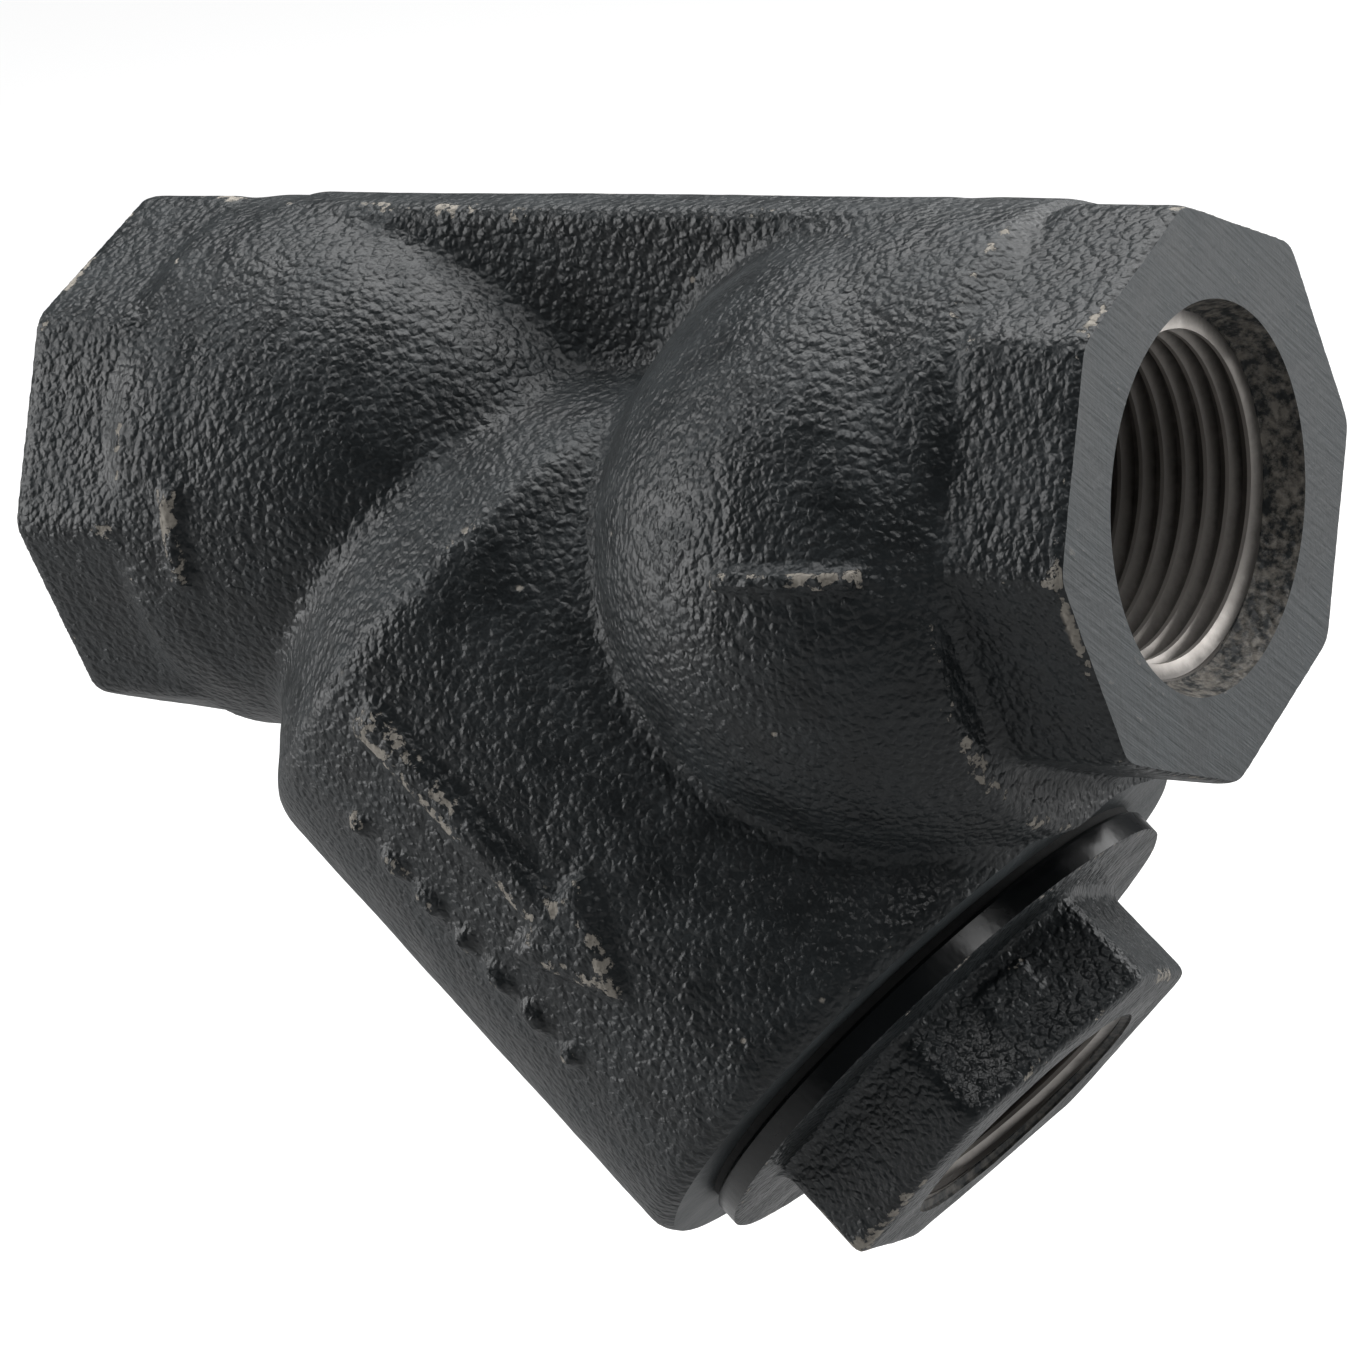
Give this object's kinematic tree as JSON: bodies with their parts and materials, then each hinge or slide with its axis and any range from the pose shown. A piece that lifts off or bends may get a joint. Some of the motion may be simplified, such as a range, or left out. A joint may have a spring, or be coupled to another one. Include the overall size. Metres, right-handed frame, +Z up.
{
  "type": "y strainer",
  "caption": "Threaded Y-pattern pipe strainer: cast body with octagonal ends, angled branch with a screwed hexagonal retainer cap, gasket and a lift-out cylindrical screen.",
  "frame": {"origin": "on the run axis where the inlet pipe thread begins, 3 mm inside the inlet end face", "axes": "+X along the run in the flow direction, from inlet to outlet; +Z up, with the branch pointing down and forward in the XZ plane, which is the symmetry plane; Y across the body"},
  "size_m": [0.0952, 0.054, 0.0834],
  "materials": {
    "painted_casting": "semi-gloss black paint over rough sand-cast iron",
    "cap_casting": "semi-gloss black paint over rough cast iron, collar turned smooth",
    "gasket": "dark compressed-fibre gasket",
    "stainless_screen": "perforated stainless sheet",
    "stainless_band": "rolled stainless band"
  },
  "bodies": {
    "casting": {"body": "painted_casting"},
    "screen": {"screen_sheet": "stainless_screen", "screen_upper_band": "stainless_band", "screen_lower_band": "stainless_band"},
    "gasket": {"cap_gasket": "gasket"},
    "cap": {"retainer_cap": "cap_casting"}
  },
  "joints": [
    {"name": "screen_draw", "type": "slide", "parent": "casting", "child": "screen", "axis": [0.7071, 0, -0.7071], "range_m": [0, 0.056]},
    {"name": "cap_travel", "type": "slide", "parent": "screen", "child": "gasket", "axis": [0.7071, 0, -0.7071], "range_m": [0, 0.00907]},
    {"name": "cap_turn", "type": "hinge", "parent": "gasket", "child": "cap", "pos_m": [0.06293, 0, -0.04193], "axis": [0.7071, 0, -0.7071], "range_deg": [0, 1800]}
  ],
  "couplings": [
    {"joint": "cap_travel", "follows": "cap_turn", "m_per_rad": 0.00028871}
  ]
}
